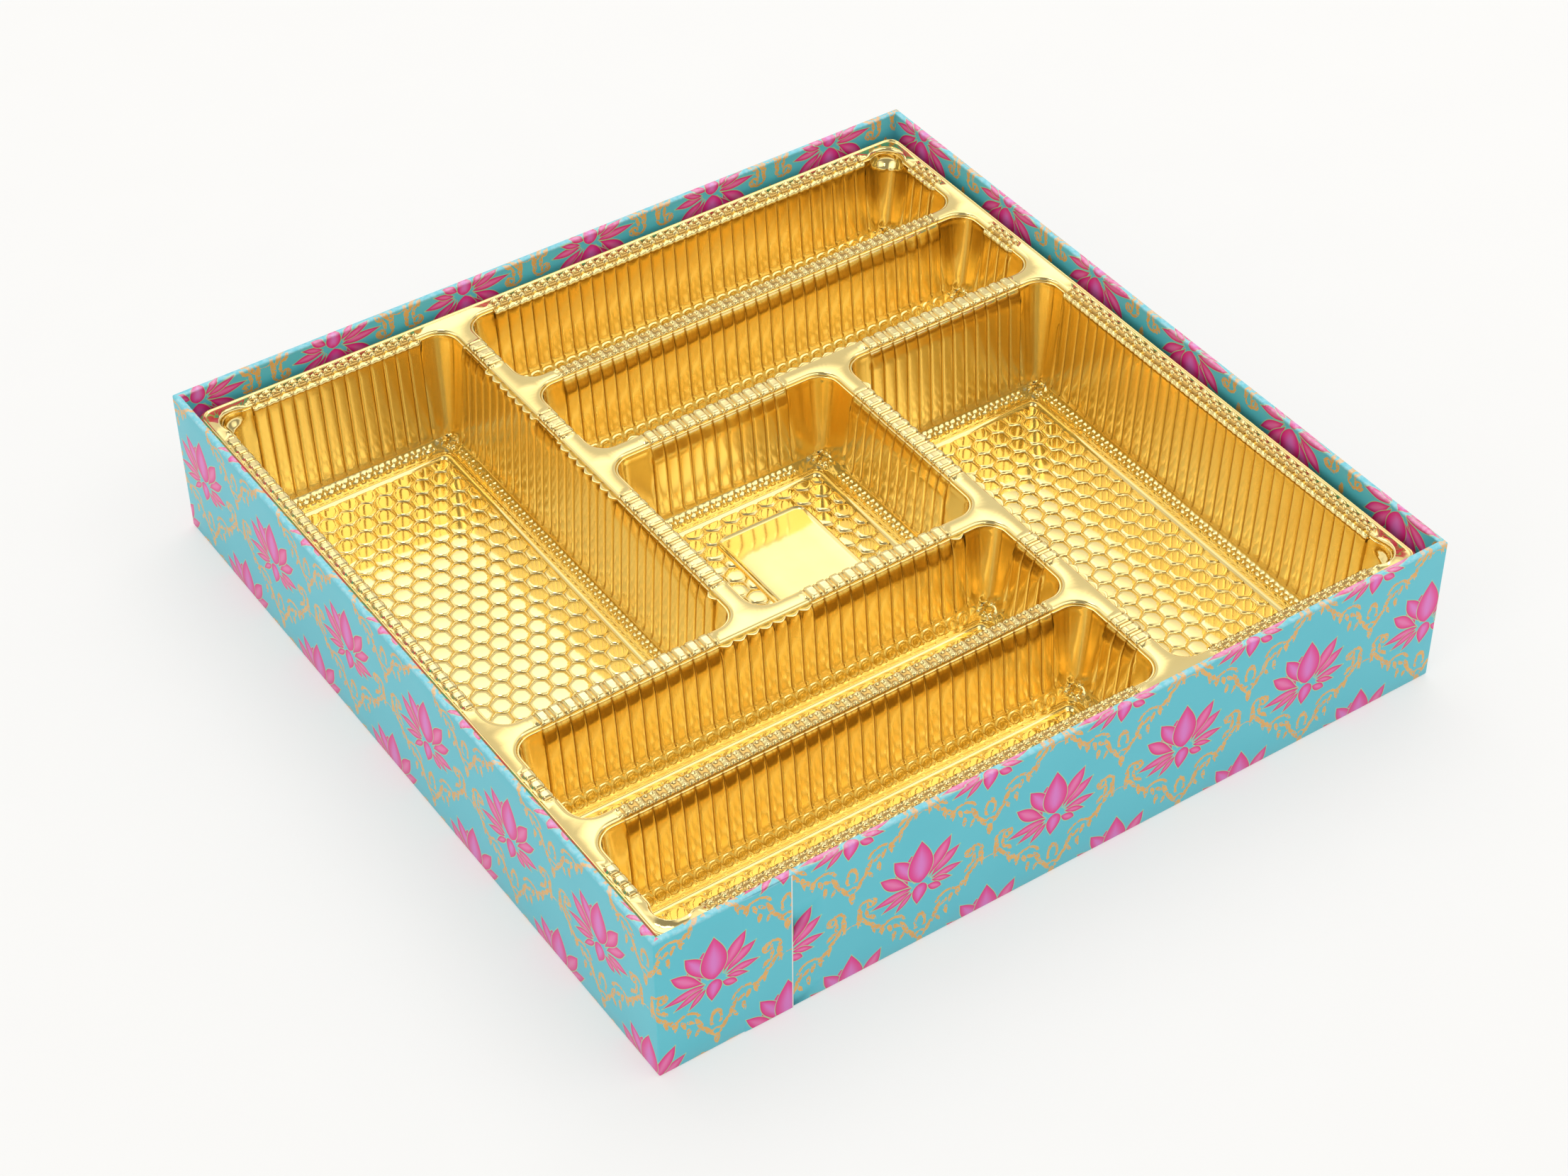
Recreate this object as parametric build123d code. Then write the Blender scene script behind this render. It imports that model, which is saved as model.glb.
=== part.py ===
from build123d import *
from math import cos, floor, pi, sin
import os

os.makedirs("parts", exist_ok=True)

# A square rigid sweet box with its gold formed tray, in millimetres, +Z up.
# The origin is the middle of the underside. The front wall is at -Y.

# Driving dimensions of the box
box_side = 260.0            # outside, across the printed wrap
box_height = 50.0           # from the table to the rim
board_t = 1.5               # grey board
wrap_t = 0.2                # printed wrap paper
tape_t = 0.1                # corner stay tape
sheet_t = 0.2               # sheet glued under the base
liner_t = 0.2               # white sheet inside, on the base board
sheet_margin = 4.0          # from the box's side to the bottom sheet's edge
turn_in = 30.0              # wrap turned down inside the walls
turn_under = 15.0           # wrap turned under the base
tape_leg = 12.0             # each leg of a corner stay
tape_end_gap = 1.0          # a stay stops short of the wall's top and bottom
seam_from_corner = 41.0     # the wrap's cut end, from the front left corner
lap_width = 15.0            # how far the wrap's two ends overlap
paper_gap = 0.3             # running gap round the inside sheet

# Driving dimensions of the tray
tray_gap = 2.3              # between the tray's edge and the wrapped walls
deck_drop = 6.5             # the deck's top below the rim
film_t = 0.4                # formed film
flange_width = 5.3          # from the tray's edge to the pockets
flange_radius = 3.5         # at the tray's corners
roll_chamfer = 0.8          # the flange's edge is rolled over, here as a chamfer
skirt_depth = 3.0           # the edge turned down
wide_divider = 5.2          # between the five main pockets
narrow_divider = 4.2        # between the two troughs of a pair
lip_depth = 2.0             # straight lip round each pocket
pocket_radius = 7.0         # at a pocket's corners
ledge = 0.5                 # the wall stands in from the lip
flute_pitch = 4.3
flute_depth = 1.4
ridge_width = 2.6           # ridges cross the wide dividers between facing flutes
ridge_height = 0.4
arm_plain = 10.4            # least plain stretch at the ends of a fluted wall
centre_plain = 14.7         # the same in the centre pocket
wall_draft = 2.0            # the wall leans in by this, from lip to foot
foot_inset = 2.5            # the foot slopes in by this, down to the floor
foot_rise = 4.0             # from the floor up to the flutes' foot
shallow_step = 10.4         # the centre and trough floors stand this much higher
channel = 0.8               # flat floor between the foot and the bead
bead_width = 2.4            # raised bead round each floor panel
bead_height = 0.8
bead_radius = 3.4           # at the bead's outer corners
notch_radius = 7.0          # finger notch in the tray's four outer corners
notch_inset = 5.9           # its centre, in from the pocket's two sides
corner_flats = 4            # a pocket's corners are rounded in this many flats
overrun = 1.0               # cuts pass their faces by this

# Places worked out from the sizes above
half = box_side / 2
skin_in = half - wrap_t
board_out = skin_in - tape_t
board_in = board_out - board_t
inside = board_in - wrap_t
board_low = sheet_t + wrap_t
wall_top = box_height - wrap_t
floor_top = board_low + board_t + liner_t

tray_half = inside - tray_gap
deck_top = box_height - deck_drop
deck_low = deck_top - film_t
ledge_z = deck_top - lip_depth
field = tray_half - flange_width
cell = (2 * field - 2 * wide_divider) / 3
centre_half = cell / 2
arm_start = centre_half + wide_divider
trough_width = (cell - narrow_divider) / 2
deep_floor = floor_top + film_t
shallow_floor = deep_floor + shallow_step


def slab(x0, x1, y0, y1, z0, z1):
    """A block between two corners."""
    return Pos((x0 + x1) / 2, (y0 + y1) / 2, (z0 + z1) / 2) * Box(x1 - x0, y1 - y0, z1 - z0)


def frame(outer, inner, z0, z1):
    """A square ring, given by half its outer and inner sides."""
    return slab(-outer, outer, -outer, outer, z0, z1) - slab(-inner, inner, -inner, inner,
                                                             z0 - overrun, z1 + overrun)


def rounded(rect, inset, radius, z):
    """A rounded rectangle's face at height z, drawn in by inset from rect."""
    x0, y0, x1, y1 = rect
    size = (x1 - x0 - 2 * inset, y1 - y0 - 2 * inset)
    return Pos((x0 + x1) / 2, (y0 + y1) / 2, z) * RectangleRounded(*size, radius)


def write(name, shape):
    shape.label = name
    export_step(shape, "parts/" + name + ".step")


# The box: boards, stays, printed wrap, bottom sheet and liner

def base_board():
    return slab(-board_in, board_in, -board_in, board_in, board_low, board_low + board_t)


def long_wall(side):
    """Front (-1) and back (1) boards run the full width."""
    y0, y1 = sorted((side * board_in, side * board_out))
    return slab(-board_out, board_out, y0, y1, board_low, wall_top)


def short_wall(side):
    """Left (-1) and right (1) boards stand between the front and back boards."""
    x0, x1 = sorted((side * board_in, side * board_out))
    return slab(x0, x1, -board_in, board_in, board_low, wall_top)


def corner_stay(sx, sy):
    """A paper tape folded round one outside corner of the boards."""
    z0 = board_low + tape_end_gap
    z1 = wall_top - tape_end_gap
    whole = slab(board_out - tape_leg, skin_in, board_out - tape_leg, skin_in, z0, z1)
    core = slab(-skin_in, board_out, -skin_in, board_out, z0 - overrun, z1 + overrun)
    stay = whole - core
    if sx < 0:
        stay = mirror(stay, about=Plane.YZ)
    if sy < 0:
        stay = mirror(stay, about=Plane.XZ)
    return stay


def side_wrap():
    """One printed sheet: up the outside, over the rim, down inside and under the base."""
    skin = frame(half, skin_in, sheet_t, box_height)
    rim = frame(half, inside, wall_top, box_height)
    inner = frame(board_in, inside, wall_top - turn_in, box_height)
    under = frame(half, half - turn_under, sheet_t, board_low)
    seam = seam_from_corner - half
    lap = slab(seam - lap_width, seam, -half - wrap_t, -half, sheet_t, box_height)
    return skin + rim + inner + under + lap


def bottom_sheet():
    reach = half - sheet_margin
    return slab(-reach, reach, -reach, reach, 0, sheet_t)


def base_liner():
    reach = inside - paper_gap
    return slab(-reach, reach, -reach, reach, floor_top - liner_t, floor_top)


# The tray: a deck with seven pockets, one sheet on the real box

# A pocket's four sides, in the order of an outline
FRONT, RIGHT, BACK, LEFT = range(4)

# Each pocket: its opening on the deck, its floor, the least plain stretch of its
# fluted walls, and the corner with the finger notch, if it has one.
POCKETS = {
    "pocket_left": ((-field, -centre_half, -arm_start, field), deep_floor, arm_plain, (-1, 1)),
    "pocket_right": ((arm_start, -field, field, centre_half), deep_floor, arm_plain, (1, -1)),
    "pocket_back_outer": ((-centre_half, field - trough_width, field, field),
                          shallow_floor, arm_plain, (1, 1)),
    "pocket_back_inner": ((-centre_half, arm_start, field, arm_start + trough_width),
                          shallow_floor, arm_plain, None),
    "pocket_front_outer": ((-field, -field, centre_half, trough_width - field),
                           shallow_floor, arm_plain, (-1, -1)),
    "pocket_front_inner": ((-field, -arm_start - trough_width, centre_half, -arm_start),
                           shallow_floor, arm_plain, None),
    "pocket_centre": ((-centre_half, -centre_half, centre_half, centre_half),
                      shallow_floor, centre_plain, None),
}


# The sides that face another fluted side across a wide divider
RIDGED = [
    ("pocket_centre", (FRONT, RIGHT, BACK, LEFT)),
    ("pocket_left", (FRONT,)),
    ("pocket_right", (BACK,)),
    ("pocket_back_outer", (LEFT,)),
    ("pocket_back_inner", (LEFT,)),
    ("pocket_front_outer", (RIGHT,)),
    ("pocket_front_inner", (RIGHT,)),
]


def flute_count(length, plain):
    return floor((length - 2 * plain) / flute_pitch)


def zigzag(length, plain):
    """Points of one side's flutes, as (along, inwards)."""
    count = flute_count(length, plain)
    start = (length - count * flute_pitch) / 2
    steps = [(start, 0)]
    for k in range(count):
        steps.append((start + (k + 1 / 2) * flute_pitch, flute_depth))
        steps.append((start + (k + 1) * flute_pitch, 0))
    return steps


def outline(rect, inset, z, plain=None):
    """A pocket's outline at height z, as points in order, moved in from rect by inset.

    With plain given, the sides are fluted between plain stretches of at least that length.
    The corners keep the opening's centres, and each is rounded in a few flats."""
    x0, y0, x1, y1 = rect
    corners = [(x0, y0), (x1, y0), (x1, y1), (x0, y1)]
    lengths = [x1 - x0, y1 - y0] * 2
    along = [(1, 0), (0, 1), (-1, 0), (0, -1)]
    radius = pocket_radius - inset
    points = []
    for (cx, cy), length, (ax, ay) in zip(corners, lengths, along):
        flutes = zigzag(length, plain) if plain else []
        steps = [(pocket_radius, inset)] + [(s, inset + t) for s, t in flutes]
        for k in range(corner_flats):
            turn = k / corner_flats * pi / 2
            steps.append((length - pocket_radius + radius * sin(turn),
                          pocket_radius - radius * cos(turn)))
        points += [(cx + ax * s - ay * t, cy + ay * s + ax * t, z) for s, t in steps]
    return points


def between(*levels):
    """The solid through outlines that have matching points, with flat faces all round."""
    faces = [make_face(Polyline(*level, close=True)).face() for level in (levels[0], levels[-1])]
    for low, high in zip(levels, levels[1:]):
        for k in range(len(low)):
            corners = [low[k - 1], low[k], high[k], high[k - 1]]
            faces.append(make_face(Polyline(*corners, close=True)).face())
    return Solid(Shell(faces))


def bowl(notch, radius):
    """The lower half of a finger notch's ball, at one outer corner of the tray."""
    x, y = notch_centre(notch)
    ball = Pos(x, y, ledge_z) * Sphere(radius)
    return split(ball, Plane.XY.offset(ledge_z), keep=Keep.BOTTOM)


def notch_centre(notch):
    reach = field - notch_inset
    return notch[0] * reach, notch[1] * reach


def pocket(rect, floor_z, plain, notch):
    """One pocket: fluted inside, plain outside, with a sloped foot and a bead round its floor."""
    foot_z = floor_z + foot_rise
    foot = ledge + wall_draft
    toe = foot + flute_depth
    panel = toe + foot_inset
    space = between(outline(rect, foot, foot_z, plain), outline(rect, ledge, ledge_z, plain))
    space += between(outline(rect, panel, floor_z), outline(rect, toe, foot_z))
    body = between(outline(rect, panel - film_t, floor_z - film_t),
                   outline(rect, foot - film_t, foot_z),
                   outline(rect, ledge - film_t, ledge_z))
    if notch:
        space += bowl(notch, notch_radius)
        body += bowl(notch, notch_radius + film_t)
    bead_out = panel + channel
    bead_in = bead_out + bead_width
    bead = extrude(rounded(rect, bead_out, bead_radius, floor_z), bead_height)
    bead -= extrude(rounded(rect, bead_in, bead_radius - bead_width, floor_z), bead_height)
    return body - space + bead


def opening(rect, notch, grow, z0, z1):
    """A pocket's hole through the deck, with its finger notch, grown by grow."""
    shape = extrude(rounded(rect, -grow, pocket_radius + grow, z0), z1 - z0)
    if notch:
        x, y = notch_centre(notch)
        shape += Pos(x, y, (z0 + z1) / 2) * Cylinder(notch_radius + grow, z1 - z0)
    return shape


def ridge(rect, side, along):
    """One ridge across the wide divider outside a pocket's side, at a place along it."""
    x0, y0, x1, y1 = rect
    a, b = along - ridge_width / 2, along + ridge_width / 2
    z0, z1 = deck_low, deck_top + ridge_height
    if side == FRONT:
        return slab(x0 + a, x0 + b, y0 - wide_divider, y0, z0, z1)
    if side == BACK:
        return slab(x0 + a, x0 + b, y1, y1 + wide_divider, z0, z1)
    if side == LEFT:
        return slab(x0 - wide_divider, x0, y0 + a, y0 + b, z0, z1)
    return slab(x1, x1 + wide_divider, y0 + a, y0 + b, z0, z1)


def ridges():
    """All the ridges, one at each flute of the sides that have them."""
    found = []
    for name, sides in RIDGED:
        rect, _, plain, _ = POCKETS[name]
        x0, y0, x1, y1 = rect
        for side in sides:
            length = x1 - x0 if side in (FRONT, BACK) else y1 - y0
            count = flute_count(length, plain)
            for k in range(count):
                found.append(ridge(rect, side, length / 2 + (k - (count - 1) / 2) * flute_pitch))
    return found


def tray_deck():
    """The flange and dividers, with a straight lip down round each pocket."""
    edge = (-tray_half, -tray_half, tray_half, tray_half)
    low = deck_top - skirt_depth
    block = extrude(rounded(edge, 0, flange_radius, low), skirt_depth)
    block = chamfer(block.faces().sort_by(Axis.Z)[-1].edges(), roll_chamfer)
    under = extrude(rounded(edge, film_t, flange_radius - film_t, low - overrun),
                    deck_low - low + overrun)
    under = chamfer(under.faces().sort_by(Axis.Z)[-1].edges(), roll_chamfer - film_t / 2)
    deck = block - under
    for rect, floor_z, plain, notch in POCKETS.values():
        deck += opening(rect, notch, film_t, ledge_z, deck_low)
    for rect, floor_z, plain, notch in POCKETS.values():
        deck -= opening(rect, notch, 0, ledge_z - overrun, deck_top + overrun)
    return deck + ridges()


write("base_board", base_board())
write("front_wall_board", long_wall(-1))
write("back_wall_board", long_wall(1))
write("left_wall_board", short_wall(-1))
write("right_wall_board", short_wall(1))
write("front_left_corner_stay", corner_stay(-1, -1))
write("front_right_corner_stay", corner_stay(1, -1))
write("back_left_corner_stay", corner_stay(-1, 1))
write("back_right_corner_stay", corner_stay(1, 1))
write("side_wrap", side_wrap())
write("bottom_sheet", bottom_sheet())
write("base_liner", base_liner())
write("tray_deck", tray_deck())
for name, values in POCKETS.items():
    write(name, pocket(*values))
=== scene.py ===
from math import ceil, cos, floor, pi, radians, sin

import bmesh
import bpy
import numpy as np
from mathutils import Matrix, Vector
from mathutils.geometry import delaunay_2d_cdt

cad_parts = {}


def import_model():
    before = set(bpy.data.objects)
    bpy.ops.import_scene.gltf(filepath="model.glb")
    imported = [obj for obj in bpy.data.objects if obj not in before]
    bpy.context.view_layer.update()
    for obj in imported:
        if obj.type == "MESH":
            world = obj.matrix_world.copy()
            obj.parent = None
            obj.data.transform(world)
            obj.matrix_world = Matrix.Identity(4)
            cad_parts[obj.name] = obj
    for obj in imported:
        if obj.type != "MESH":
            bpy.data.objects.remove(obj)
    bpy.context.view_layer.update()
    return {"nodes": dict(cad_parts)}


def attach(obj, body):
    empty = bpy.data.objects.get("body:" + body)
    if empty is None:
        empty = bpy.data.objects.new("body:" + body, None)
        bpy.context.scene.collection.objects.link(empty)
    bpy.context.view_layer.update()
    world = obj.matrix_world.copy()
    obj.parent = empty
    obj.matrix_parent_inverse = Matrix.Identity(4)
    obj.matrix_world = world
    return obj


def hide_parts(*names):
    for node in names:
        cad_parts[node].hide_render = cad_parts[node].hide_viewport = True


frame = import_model()

MM = 0.001           # the part is in millimetres until a mesh is made

# Sizes of the part, as in its source
HALF = 130.0         # half the box's side
HEIGHT = 50.0
INSIDE = 128.0       # half the width inside the walls
LAP = 15.0           # of the wrap's two ends
TRAY_HALF = 125.7    # half the tray's side
DECK_TOP = 43.5
LEDGE_Z = 41.5       # top of a pocket's fluted wall
FIELD = 120.4        # half the width taken by the pockets
CENTRE = 38.4        # half the centre pocket
ARM = 43.6           # from the middle to the pockets round the centre
TROUGH = 36.3        # width of a trough
DEEP = 2.5           # floor heights
SHALLOW = 12.9
CORNER = 7.0         # radius of a pocket's corners
PITCH = 4.3          # of the flutes
FLUTE = 1.4          # their depth
ARM_PLAIN = 10.4     # least plain stretch at the ends of a fluted wall
CENTRE_PLAIN = 14.7
WIDE = 5.2           # widths of the dividers
NARROW = 4.2
DRAFT = 2.0          # a wall leans in by this
FOOT_RUN = 2.5       # its foot slopes in by this
FOOT_RISE = 4.0      # over this height

# Sizes of the scene alone
FILM = 0.25          # thickness of the film
NOTCH_R = 5.2        # bowl at an outer corner
NOTCH_IN = 4.4       # its centre, in from the pocket's two sides
FLANGE_RUN = 3.3     # width of the beads on the flange
SEAM = -89.1         # x of the wrap's cut end
FOLD = 0.5           # radius of the wrap's folds
SKEW = 4.6           # the print's shift in height round the box
CLOSE = 15.0         # and along the sheet

# Each pocket: opening, floor height, plain stretch, notch corner
POCKETS = {
    "pocket_left": ((-FIELD, -CENTRE, -ARM, FIELD), DEEP, ARM_PLAIN, (-1, 1)),
    "pocket_right": ((ARM, -FIELD, FIELD, CENTRE), DEEP, ARM_PLAIN, (1, -1)),
    "pocket_back_outer": ((-CENTRE, FIELD - TROUGH, FIELD, FIELD), SHALLOW, ARM_PLAIN, (1, 1)),
    "pocket_back_inner": ((-CENTRE, ARM, FIELD, ARM + TROUGH), SHALLOW, ARM_PLAIN, None),
    "pocket_front_outer": ((-FIELD, -FIELD, CENTRE, TROUGH - FIELD), SHALLOW, ARM_PLAIN, (-1, -1)),
    "pocket_front_inner": ((-FIELD, -ARM - TROUGH, CENTRE, -ARM), SHALLOW, ARM_PLAIN, None),
    "pocket_centre": ((-CENTRE, -CENTRE, CENTRE, CENTRE), SHALLOW, CENTRE_PLAIN, None),
}
FRONT, RIGHT, BACK, LEFT = range(4)
SIDE_AXES = [((1, 0), (0, 1)), ((0, 1), (-1, 0)), ((-1, 0), (0, -1)), ((0, -1), (1, 0))]


def srgb(r, g, b):
    """A colour given in 0..255 as linear RGBA."""
    def one(v):
        v /= 255
        return v / 12.92 if v <= 0.04045 else ((v + 0.055) / 1.055) ** 2.4
    return (one(r), one(g), one(b), 1.0)


def smooth(x, low, high):
    t = np.clip((x - low) / (high - low), 0, 1)
    return t * t * (3 - 2 * t)


# Shader nodes

class Graph:
    """Adds nodes to a tree in short calls that return output sockets."""

    def __init__(self, owner):
        self.owner = owner
        self.tree = owner.node_tree
        self.shader = self.tree.nodes.get("Principled BSDF")

    def put(self, value, socket):
        if isinstance(value, bpy.types.NodeSocket):
            self.tree.links.new(value, socket)
        else:
            socket.default_value = value

    def outputs(self, kind, inputs={}, **settings):
        n = self.tree.nodes.new("ShaderNode" + kind)
        for key, value in settings.items():
            setattr(n, key, value)
        for key, value in inputs.items():
            self.put(value, n.inputs[key])
        return n.outputs

    def add(self, kind, inputs={}, **settings):
        return self.outputs(kind, inputs, **settings)[0]

    def split(self, vector):
        return self.outputs("SeparateXYZ", {0: vector})

    def math(self, operation, a, b=0.0, c=0.0):
        return self.add("Math", {0: a, 1: b, 2: c}, operation=operation)

    def mul(self, a, b):
        return self.math("MULTIPLY", a, b)

    def sub(self, a, b):
        return self.math("SUBTRACT", a, b)

    def muladd(self, a, b, c):
        return self.math("MULTIPLY_ADD", a, b, c)

    def less(self, x):
        """1 minus x."""
        return self.sub(1.0, x)

    def step(self, x, low, high):
        """0 below low and 1 above high, smoothly."""
        return self.add("MapRange", {"Value": x, "From Min": low, "From Max": high},
                        interpolation_type="SMOOTHSTEP")

    def mix(self, factor, a, b):
        return self.outputs("Mix", {0: factor, 6: a, 7: b}, data_type="RGBA")[2]

    def noise(self, scale, detail, rough, vector):
        return self.outputs("TexNoise", {"Scale": scale, "Detail": detail, "Roughness": rough,
                                         "Vector": vector})["Fac"]

    def sheet(self):
        return self.add("UVMap", uv_map="sheet")

    def place(self, scale=(1, 1, 1)):
        """Object coordinates in metres, stretched."""
        where = self.outputs("TexCoord")["Object"]
        return self.add("Mapping", {"Scale": scale, "Vector": where})

    def bump(self, height, strength, distance):
        return self.add("Bump", {"Strength": strength, "Distance": distance, "Height": height})

    def dress(self, colour, roughness, normal):
        """Links the shader's three main inputs and gives the material."""
        for value, key in ((colour, "Base Color"), (roughness, "Roughness"), (normal, "Normal")):
            self.put(value, self.shader.inputs[key])
        return self.owner


def material(name, **sockets):
    """The graph of a new material, with some of its shader's inputs set."""
    m = bpy.data.materials.new(name)
    m.use_nodes = True
    g = Graph(m)
    for key, value in sockets.items():
        g.shader.inputs[key.replace("_", " ")].default_value = value
    return g


def link(name, data):
    obj = bpy.data.objects.new(name, data)
    bpy.context.scene.collection.objects.link(obj)
    return obj


# Materials

def gold_film():
    """Metallised film: deep gold, glossy, a little uneven from forming."""
    g = material("gold_film", Metallic=1.0, IOR=1.5, Coat_Weight=0.25, Coat_Roughness=0.04)
    cloud = g.noise(45, 3, 0.6, g.place())
    fine = g.noise(900, 2, 0.6, g.place())
    tone = g.mix(g.step(cloud, 0.3, 0.7), (0.925, 0.705, 0.272, 1), (0.95, 0.75, 0.31, 1))
    # The sheet's x is high in grooves, valleys and hollows, which are darkened towards brown as painted
    # shade
    x, y = g.split(g.sheet())[:2]
    groove = g.mul(g.step(x, 0.7, 0.95), 0.54)
    painted_shade = g.muladd(g.step(x, 1.1, 1.5), 0.26, groove)
    tone = g.mix(painted_shade, tone, (0.42, 0.22, 0.03, 1))
    # and its y on ridges and beads, which are paled towards cream as a painted highlight
    painted_highlight = g.mul(g.step(y, 0.35, 0.9), 0.4)
    tone = g.mix(painted_highlight, tone, (0.98, 0.84, 0.44, 1))
    # Level film is glossy, and steep walls are satin
    upright = g.split(g.outputs("TexCoord")["Normal"])[2]
    flat = g.step(g.math("ABSOLUTE", upright), 0.2, 0.45)
    polish = g.muladd(flat, -0.08, 0.145)
    first = g.bump(g.noise(120, 2, 0.5, g.place()), 0.03, 0.0004)
    normal = g.add("Bump", {"Strength": 0.03, "Distance": 0.0001, "Height": fine, "Normal": first})
    return g.dress(tone, g.muladd(fine, 0.03, polish), normal)


def board_grey():
    """Grey board: matted fibres and small dark flecks."""
    g = material("grey_board", IOR=1.45)
    fibres = g.noise(700, 4, 0.7, g.place((1, 0.25, 1)))
    flecks = g.noise(1500, 2, 0.6, g.place())
    tone = g.mix(fibres, srgb(150, 140, 124), srgb(186, 176, 158))
    tone = g.mix(g.step(flecks, 0.66, 0.74), tone, srgb(110, 102, 92))
    return g.dress(tone, g.muladd(fibres, 0.1, 0.82), g.bump(fibres, 0.3, 0.0002))


def paper(name, light, dark, roughness):
    """Plain paper: faint cloudy fibres."""
    g = material(name, IOR=1.45)
    cloud = g.noise(120, 4, 0.65, g.place())
    fibres = g.noise(2200, 3, 0.7, g.place((1, 0.3, 1)))
    return g.dress(g.mix(cloud, dark, light), g.muladd(fibres, 0.12, roughness),
                   g.bump(fibres, 0.2, 0.0001))


# The print: a lotus in each cell of a scroll trellis, in half-dropped rows. The mesh's UV
# coordinates are millimetres on the flat sheet.

CELL = 43.7          # width of a cell, and height of a row
ROW = 29.5
LOTUS_X = 37.4       # place of a lotus on the sheet
LOTUS_Y = 23.2

# Each petal: foot x, foot y, direction in degrees, length, half width, bend of its tip
# sideways, and the powers that shape its foot and its tip
PETALS = [
    (-3.0, -1.0, 182, 12.8, 1.3, 0.5, 1.0, 1.3), (-3.4, -2.0, 198, 9.6, 1.1, 0.4, 1.0, 1.3),
    (-2.8, -2.8, 220, 7.2, 0.95, 0.3, 1.0, 1.3), (3.4, -1.0, 0, 9.8, 1.3, 0.4, 1.2, 1.3),
    (3.4, -1.8, -16, 6.9, 1.0, -0.3, 1.1, 1.3), (2.2, -3.0, -34, 5.0, 1.3, 0.3, 1.0, 0.9),
    (3.0, -0.4, 41, 11.6, 1.75, -0.9, 1.5, 1.3), (-4.0, -0.2, 122, 8.4, 2.0, -0.8, 1.6, 1.0),
    (-3.4, -0.4, 147, 12.2, 2.0, -1.2, 1.5, 1.15), (2.4, 0.2, 63, 13.4, 2.1, -1.0, 1.6, 1.25),
    (-2.2, 0.4, 99, 10.6, 2.3, -0.6, 1.6, 1.0), (-2.0, 0.2, 112, 13.2, 2.4, 1.9, 1.5, 1.15),
    (-0.3, -0.5, 89, 15.2, 3.9, 0.0, 0.74, 1.12), (0.1, -0.9, -100, 7.4, 2.35, 0.0, 0.62, 1.1),
]
# Gold leaves of one arm of the garland under each lotus
LEAVES = [
    (19.4, 1.6, -94, 7.6, 0.85, 1.0, 0.8, 0.9), (17.2, 0.4, -88, 4.6, 0.6, -0.9, 0.8, 0.9),
    (18.9, -2.4, -118, 6.6, 0.7, -0.9, 0.7, 0.9), (16.6, -3.2, -150, 3.4, 0.7, 0.7, 0.7, 0.8),
    (15.6, -6.0, -112, 5.0, 0.75, 0.9, 0.7, 0.9), (14.4, -8.2, -140, 3.0, 0.75, 0.5, 0.6, 0.8),
    (12.2, -9.2, -100, 4.0, 0.8, 0.8, 0.6, 0.9), (10.4, -10.6, -120, 3.4, 0.7, 0.6, 0.6, 0.8),
    (8.6, -11.4, -128, 3.0, 0.65, -0.5, 0.6, 0.8), (6.4, -11.6, -118, 7.2, 0.8, 0.8, 0.8, 1.0),
    (8.4, -14.2, -100, 3.6, 0.7, 0.9, 0.6, 0.9), (5.4, -16.2, -80, 2.6, 0.6, 0.5, 0.6, 0.8),
    (3.8, -16.4, -116, 6.4, 0.7, -0.5, 0.8, 1.0), (2.6, -20.2, 150, 3.2, 0.45, 0.3, 0.7, 0.8),
    (0, -21.0, -90, 4.4, 1.0, 0, 0.6, 0.9),
]
# Gold strokes: ring centre x and y, radius x and y, half width, and the lowest y drawn
RINGS = [
    (15.6, 1.2, 1.35, 1.35, 0.40, -9), (17.4, 0.2, 2.35, 2.7, 0.42, 0.2),
    (8.9, -12.3, 3.9, 3.5, 0.48, -11.6), (0, -15.6, 1.55, 3.0, 0.42, -17.4),
    (21.85, -6.4, 3.0, 2.6, 0.2, -5.6),
]


def petal(g, place, shape):
    """Signed distance in mm to a petal, negative inside."""
    x, y, turn, length, width, bend, foot, tip = shape
    turned = g.add("Mapping", {"Location": (x, y, 0), "Rotation": (0, 0, radians(turn)),
                               "Scale": (length, 1, 1), "Vector": place}, vector_type="TEXTURE")
    along, side = g.split(turned)[:2]
    t = g.add("Clamp", {0: along})
    if bend:
        side = g.muladd(g.mul(t, t), -bend, side)
    peak = foot / (foot + tip)
    top = peak ** foot * (1 - peak) ** tip
    rise = g.math("POWER", t, foot)
    fall = g.math("POWER", g.less(t), tip)
    edge = g.mul(g.mul(rise, fall), width / top)
    across = g.sub(g.math("ABSOLUTE", side), edge)
    middle = g.math("ABSOLUTE", g.sub(along, 0.5))
    ends = g.muladd(middle, length, -length / 2)
    return g.math("MAXIMUM", across, ends)


def ring(g, place, shape):
    """Signed distance in mm to a ring's stroke above the lowest y drawn."""
    x, y, rx, ry, width, low = shape
    round_it = g.add("Mapping", {"Location": (x, y, 0), "Scale": (1, ry / rx, 1), "Vector": place},
                     vector_type="TEXTURE")
    radius = g.outputs("VectorMath", {0: round_it}, operation="LENGTH")["Value"]
    off = g.math("ABSOLUTE", g.sub(radius, rx))
    stroke = g.sub(off, width)
    return g.math("MAXIMUM", stroke, g.sub(low, g.split(place)[1]))


def cell_place(g, uv, low, mirrored):
    """Coordinates in a cell, mirrored about its middle or not. Cells' lower edges are at low."""
    across, height = g.split(uv)[:2]
    up = g.sub(height, LOTUS_Y)
    row = g.math("FLOOR", g.math("DIVIDE", g.sub(up, low), ROW))
    y = g.muladd(row, -ROW, up)
    odd = g.math("FLOORED_MODULO", row, 2.0)
    along = g.muladd(odd, CELL / 2, g.sub(across, LOTUS_X - CELL / 2))
    x = g.sub(g.math("FLOORED_MODULO", along, CELL), CELL / 2)
    return g.add("CombineXYZ", {0: g.math("ABSOLUTE", x) if mirrored else x, 1: y})


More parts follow.
